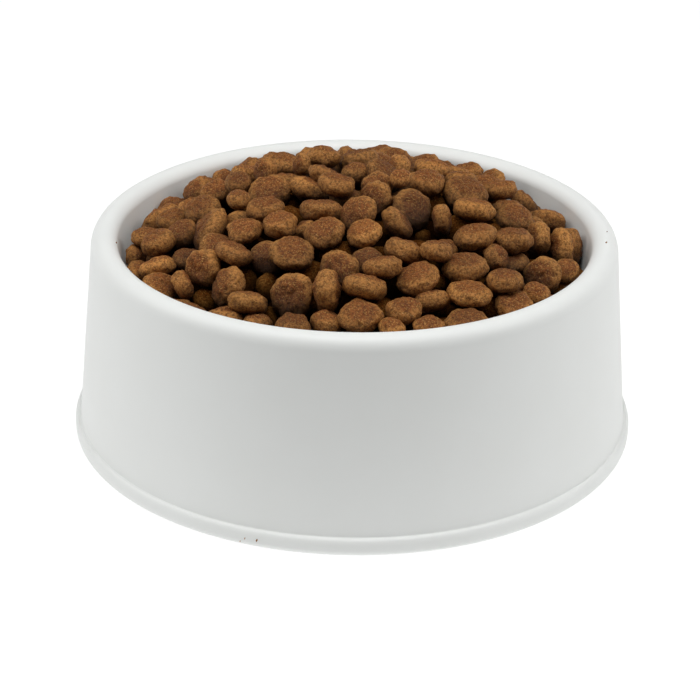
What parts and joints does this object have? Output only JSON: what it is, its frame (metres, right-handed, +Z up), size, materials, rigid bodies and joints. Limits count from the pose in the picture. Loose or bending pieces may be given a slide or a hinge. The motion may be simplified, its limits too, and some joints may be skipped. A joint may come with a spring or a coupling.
{
  "type": "filled pet food bowl",
  "caption": "Round one-piece pet bowl with a rolled rim, a flared skirt and a stepped foot, heaped with loose dry kibble.",
  "frame": {"origin": "on the ground, under the middle of the bowl's foot ring", "axes": "+Z up, the bowl's axis; -Y towards the viewer of the picture, where the heap is a little lower; +X to the viewer's right"},
  "size_m": [0.18, 0.18, 0.0835],
  "materials": {
    "bowl": "white melamine, compression moulded, a satin gloss with a few brown crumbs on the rim and foot",
    "kibble_bed": "dry kibble deep in the heap, dark brown, matt",
    "kibble": "dry baked kibble, grainy and matt, darker dished faces with lighter rims"
  },
  "bodies": {
    "root": {"bowl": "bowl", "kibble_bed": "kibble_bed", "kibble_01": "kibble", "kibble_02": "kibble", "kibble_03": "kibble", "kibble_04": "kibble", "kibble_05": "kibble", "kibble_06": "kibble", "kibble_07": "kibble", "kibble_08": "kibble", "kibble_09": "kibble", "kibble_10": "kibble", "kibble_11": "kibble", "kibble_12": "kibble", "kibble_13": "kibble", "kibble_14": "kibble", "kibble_15": "kibble", "kibble_16": "kibble", "kibble_17": "kibble", "kibble_18": "kibble", "kibble_19": "kibble", "kibble_20": "kibble", "kibble_21": "kibble", "kibble_22": "kibble", "kibble_23": "kibble", "kibble_24": "kibble", "kibble_25": "kibble", "kibble_26": "kibble", "kibble_27": "kibble", "kibble_28": "kibble", "kibble_29": "kibble", "kibble_30": "kibble", "kibble_31": "kibble", "kibble_32": "kibble", "kibble_33": "kibble", "kibble_34": "kibble", "kibble_35": "kibble", "kibble_36": "kibble", "kibble_37": "kibble", "kibble_38": "kibble", "kibble_39": "kibble", "kibble_40": "kibble", "kibble_41": "kibble", "kibble_42": "kibble", "kibble_43": "kibble", "kibble_44": "kibble", "kibble_45": "kibble", "kibble_46": "kibble", "kibble_47": "kibble", "kibble_48": "kibble", "kibble_49": "kibble", "kibble_50": "kibble", "kibble_51": "kibble", "kibble_52": "kibble", "kibble_53": "kibble", "kibble_54": "kibble", "kibble_55": "kibble", "kibble_56": "kibble", "kibble_57": "kibble", "kibble_58": "kibble"}
  },
  "joints": []
}
